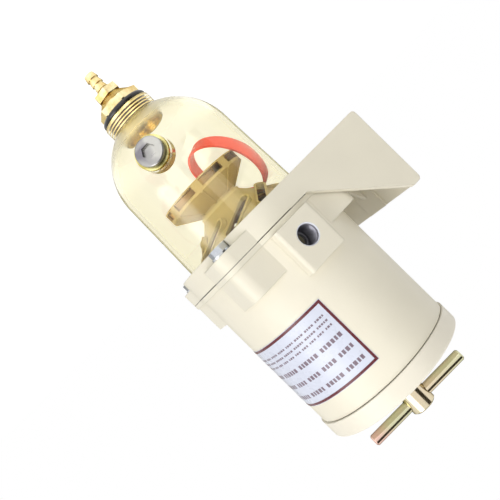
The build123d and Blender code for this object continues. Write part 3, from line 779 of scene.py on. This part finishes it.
def make_neck_insert():
    """The insert, a hair into the clear neck, with the rings that show in its lower part."""
    low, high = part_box("neck_insert")
    outer = (high.x - low.x) / 2 + insert_press
    bottom, top = low.z - seam_z, high.z - seam_z
    profile = [(insert_bore_r, bottom), (outer, bottom)]
    for groove in range(groove_count):
        height = bottom + first_groove + groove * groove_pitch
        for share, sunk in groove_shape:
            profile.append((outer - sunk * groove_depth, height + share * groove_pitch))
    profile.append((outer, top - insert_chamfer))
    profile.append((outer - insert_chamfer, top))
    profile.append((insert_bore_r, top))
    bm = bmesh.new()
    add_lathe(bm, profile, neck_steps, on_axis(0))
    # The dark colour is painted shade in the grooves
    light, dark = srgb(254, 234, 174), srgb(84, 52, 22)
    brass_rings = grooved_brass(
        "grooved_brass", light, dark, outer - shadow_start, outer - shadow_end
    )
    piece = finish_mesh("neck_insert_grooved", bm, brass_rings, "housing")
    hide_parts("neck_insert")


make_neck_insert()


# Drain adapter: a chamfered hexagon with a cone below it, and the spigot in the insert

# Height of the face under the O-ring, where the hexagon starts
adapter_face = -0.1175
adapter_flats = 0.027
adapter_heading = radians(35)
adapter_corner_r = adapter_flats / 2 / cos(pi / 6)
hexagon_height = 0.0056
chamfer_inset = 0.0010
upper_chamfer_t = 0.0006
lower_chamfer_t = 0.0010
spigot_r = 0.0126
nose_r = 0.0077
shoulder_r = 0.0128
step_r = 0.0122
step_height = 0.0004
adapter_bore_r = 0.0045
counterbore_r = 0.0066
counterbore_depth = 0.018


def add_hexagon_lathe(bm, rows, flats, turn, steps, centre):
    """Add a closed turned form from rows of height, radius, cut to a hexagon where it is wider."""
    rings = []
    for height, radius in rows:
        ring = []
        for step in range(steps):
            angle = 2 * pi * step / steps
            off = (angle + pi / 6) % (pi / 3) - pi / 6
            r = min(radius, flats / 2 / cos(off))
            heading = angle + turn
            x, y = centre.x + r * cos(heading), centre.y + r * sin(heading)
            ring.append(bm.verts.new((x, y, centre.z + height)))
        rings.append(ring)
    for here, there in zip(rings, rings[1:] + rings[:1]):
        for step in range(steps):
            after = (step + 1) % steps
            bm.faces.new((here[step], here[after], there[after], there[step]))


def make_drain_adapter():
    """The adapter in its node's place, with the photograph's shorter hexagon and longer cone."""
    low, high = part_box("drain_adapter")
    bottom, top = low.z - seam_z, high.z - seam_z
    face, corner = adapter_face, adapter_corner_r
    end = face - hexagon_height
    rows = (
        (bottom + counterbore_depth, counterbore_r),
        (bottom + counterbore_depth, adapter_bore_r),
        (top, adapter_bore_r),
        (top, spigot_r),
        (face, spigot_r),
        (face, corner - chamfer_inset),
        (face - upper_chamfer_t, corner),
        (end + lower_chamfer_t, corner),
        (end, shoulder_r),
        (end - step_height, step_r),
        (bottom, nose_r),
        (bottom, counterbore_r),
    )
    bm = bmesh.new()
    add_hexagon_lathe(bm, rows, adapter_flats, adapter_heading, neck_steps, on_axis(0))
    piece = finish_mesh(
        "drain_adapter_turned", bm, brass_bright, "housing", smooth_angle=25
    )
    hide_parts("drain_adapter")


make_drain_adapter()


# Inside of the baffle: a thin floor and a slanted vane inward from each post

rim_inner_r = rim_r - 0.002
baffle_floor_t = 0.0009
baffle_floor_steps = 64
baffle_floor_bore = 0.004
floor_root = 0.0002
vane_root = 0.0003
vane_t = 0.0016
vane_length = 0.019
vane_slant = radians(40)


def make_baffle_inside():
    """The floor and the vanes that show through the baffle's windows, a hair into its rim."""
    bm = bmesh.new()
    floor_top = rim_bottom + baffle_floor_t
    floor_r = rim_inner_r + floor_root
    profile = (
        (baffle_floor_bore, rim_bottom),
        (floor_r, rim_bottom),
        (floor_r, floor_top),
        (baffle_floor_bore, floor_top),
    )
    add_lathe(bm, profile, baffle_floor_steps, on_axis(0))
    for post in range(window_count):
        heading = window_heading + 2 * pi * (post + 0.5) / window_count
        outward = Vector((cos(heading), sin(heading), 0))
        start = on_axis(0) + outward * (rim_inner_r + vane_root)
        inward = Matrix.Rotation(vane_slant, 3, "Z") @ -outward
        end = start + inward * vane_length
        side = Vector((-inward.y, inward.x, 0)) * vane_t / 2
        ends = (start - side, start + side, end + side, end - side)
        lows = [bm.verts.new(point + Vector((0, 0, floor_top))) for point in ends]
        highs = [bm.verts.new(point + Vector((0, 0, rim_top))) for point in ends]
        bm.faces.new(lows[::-1])
        bm.faces.new(highs)
        for k in range(4):
            bm.faces.new((lows[k], lows[(k + 1) % 4], highs[(k + 1) % 4], highs[k]))
    finish_mesh("baffle_vanes", bm, tan_vane, "housing")


make_baffle_inside()


# Studio: camera, world, floor, lamps and dark cards

def make_camera():
    """The photograph's camera, level with the seam, rolled so that the lid points down right."""
    up = Vector((0, 0, 1))
    image_x = camera_right * cos(view_roll) + up * sin(view_roll)
    image_y = -camera_right * sin(view_roll) + up * cos(view_roll)
    matrix = Matrix((image_x, image_y, towards_camera)).transposed().to_4x4()
    matrix.translation = on_axis(0) + towards_camera * view_distance + camera_right * view_shift
    data = bpy.data.cameras.new("photo_camera")
    data.lens = view_lens
    data.sensor_width = sensor
    data.clip_start = 0.01
    data.clip_end = 50
    camera = bpy.data.objects.new("photo_camera", data)
    camera.matrix_world = matrix
    bpy.context.scene.collection.objects.link(camera)
    bpy.context.scene.camera = camera


def seen_directly(tree):
    """One for rays from the camera, off gloss or through glass, and zero for the rest."""
    path = tree.nodes.new("ShaderNodeLightPath")
    total = path.outputs["Is Camera Ray"]
    for name in ("Is Glossy Ray", "Is Transmission Ray"):
        most = tree.nodes.new("ShaderNodeMath")
        most.operation = "MAXIMUM"
        tree.links.new(total, most.inputs[0])
        tree.links.new(path.outputs[name], most.inputs[1])
        total = most.outputs["Value"]
    return total


def make_world():
    """A soft even world that shows as white behind the object and in gloss and glass."""
    world = bpy.data.worlds.new("studio")
    bpy.context.scene.world = world
    world.use_nodes = True
    tree = world.node_tree
    tree.nodes.clear()
    soft = tree.nodes.new("ShaderNodeBackground")
    soft.inputs["Color"].default_value = (1.0, 0.99, 0.97, 1.0)
    soft.inputs["Strength"].default_value = world_strength
    white = tree.nodes.new("ShaderNodeBackground")
    white.inputs["Color"].default_value = (1.0, 1.0, 1.0, 1.0)
    mix = tree.nodes.new("ShaderNodeMixShader")
    out = tree.nodes.new("ShaderNodeOutputWorld")
    tree.links.new(seen_directly(tree), mix.inputs["Fac"])
    tree.links.new(soft.outputs["Background"], mix.inputs[1])
    tree.links.new(white.outputs["Background"], mix.inputs[2])
    tree.links.new(mix.outputs["Shader"], out.inputs["Surface"])


def make_floor():
    """A pale floor well below the filter. It keeps the shadow and fades into the background."""
    low = cad_box[0][2] - floor_drop
    mesh = bpy.data.meshes.new("studio_floor")
    corners = [
        (-floor_half, -floor_half, low),
        (floor_half, -floor_half, low),
        (floor_half, floor_half, low),
        (-floor_half, floor_half, low),
    ]
    mesh.from_pydata(corners, [], [(0, 1, 2, 3)])
    floor = bpy.data.objects.new("studio_floor", mesh)
    bpy.context.scene.collection.objects.link(floor)
    pale = Shader("pale_floor", (0.8, 0.8, 0.79), 0.8)
    tree = pale.tree
    white = pale.add("ShaderNodeEmission")
    lift = pale.math("MULTIPLY", seen_directly(tree), floor_lift)
    pale.link(lift, white.inputs["Strength"])
    both = pale.add("ShaderNodeAddShader")
    pale.link(pale.bsdf.outputs["BSDF"], both.inputs[0])
    pale.link(white.outputs["Emission"], both.inputs[1])
    pale.link(both.outputs["Shader"], tree.nodes["Material Output"].inputs["Surface"])
    mesh.materials.append(pale.material)


def set_up(name, data, heading, height, away):
    """Stand a panel so that it faces the filter.

    Its heading is in degrees to the right of the camera's direction."""
    turn = radians(heading)
    out = towards_camera * cos(turn) + camera_right * sin(turn)
    target = on_axis(0)
    panel = bpy.data.objects.new(name, data)
    panel.location = target + out * away + Vector((0, 0, height))
    panel.rotation_euler = (target - panel.location).to_track_quat("-Z", "Y").to_euler()
    bpy.context.scene.collection.objects.link(panel)
    return panel


def area_light(name, heading, height, away, width, tall, radiance):
    """A soft panel of light."""
    data = bpy.data.lights.new(name, "AREA")
    data.shape = "RECTANGLE"
    data.size = width
    data.size_y = tall
    data.energy = radiance * pi * width * tall
    return set_up(name, data, heading, height, away)


def soften_edges(lamp, near, far):
    """Fade a panel's light towards its two sides, over shares of its width."""
    lamp.data.use_nodes = True
    tree = lamp.data.node_tree
    glow = tree.nodes["Emission"]
    split = tree.nodes.new("ShaderNodeSeparateXYZ")
    geometry = tree.nodes.new("ShaderNodeNewGeometry")
    tree.links.new(geometry.outputs["Parametric"], split.inputs["Vector"])
    steps = []
    for low, high in ((0.0, near), (1.0, 1.0 - far)):
        fade = tree.nodes.new("ShaderNodeMapRange")
        fade.interpolation_type = "SMOOTHSTEP"
        fade.inputs["From Min"].default_value = low
        fade.inputs["From Max"].default_value = high
        tree.links.new(split.outputs["X"], fade.inputs["Value"])
        steps.append(fade.outputs["Result"])
    both = tree.nodes.new("ShaderNodeMath")
    both.operation = "MULTIPLY"
    tree.links.new(steps[0], both.inputs[0])
    tree.links.new(steps[1], both.inputs[1])
    tree.links.new(both.outputs["Value"], glow.inputs["Strength"])


def dark_card(name, heading, height, away, width, tall, colour):
    """A dark studio card that only shows in gloss, for contrast on metal and at the bowl's rim."""
    x, y = width / 2, tall / 2
    mesh = bpy.data.meshes.new(name)
    mesh.from_pydata([(-x, -y, 0), (x, -y, 0), (x, y, 0), (-x, y, 0)], [], [(0, 1, 2, 3)])
    mesh.materials.append(Shader(name, colour, 0.9).material)
    card = set_up(name, mesh, heading, height, away)
    card.visible_camera = False
    card.visible_diffuse = False
    card.visible_transmission = False
    card.visible_volume_scatter = False
    card.visible_shadow = False


def make_lights():
    """A tall key panel on the label's side, a fill left of the camera, a top panel and two behind.

    Three dark cards stand among them."""
    key = area_light("key", heading=50, height=0.35, away=0.95, width=0.95, tall=1.4, radiance=3.1)
    soften_edges(key, 0.35, 0.35)
    fill = area_light("fill", heading=-22, height=0.15, away=1.0, width=0.6, tall=0.9, radiance=2.4)
    fill.visible_glossy = False
    top = area_light("top", heading=10, height=0.9, away=0.35, width=0.6, tall=0.6, radiance=1.7)
    top.visible_glossy = False
    panels_behind = (("back_left", 140, -0.2, 0.4), ("back_right", -140, 0.4, 1.2))
    for name, heading, height, radiance in panels_behind:
        back = area_light(
            name, heading, height, away=1.0, width=0.9, tall=1.2, radiance=radiance
        )
        back.visible_glossy = False
        back.visible_transmission = False
        back.visible_camera = False
    black, dull = (0.03, 0.025, 0.015), (0.42, 0.39, 0.24)
    dark_card("tall_card", heading=-45, height=0.0, away=1.0, width=0.66, tall=1.6, colour=black)
    dark_card("wide_card", heading=0, height=0.80, away=0.62, width=1.6, tall=0.80, colour=black)
    dark_card("rim_card", heading=180, height=-0.1, away=1.0, width=1.3, tall=1.5, colour=dull)


make_camera()
make_world()
make_floor()
make_lights()

bpy.context.scene.view_settings.view_transform = "Standard"
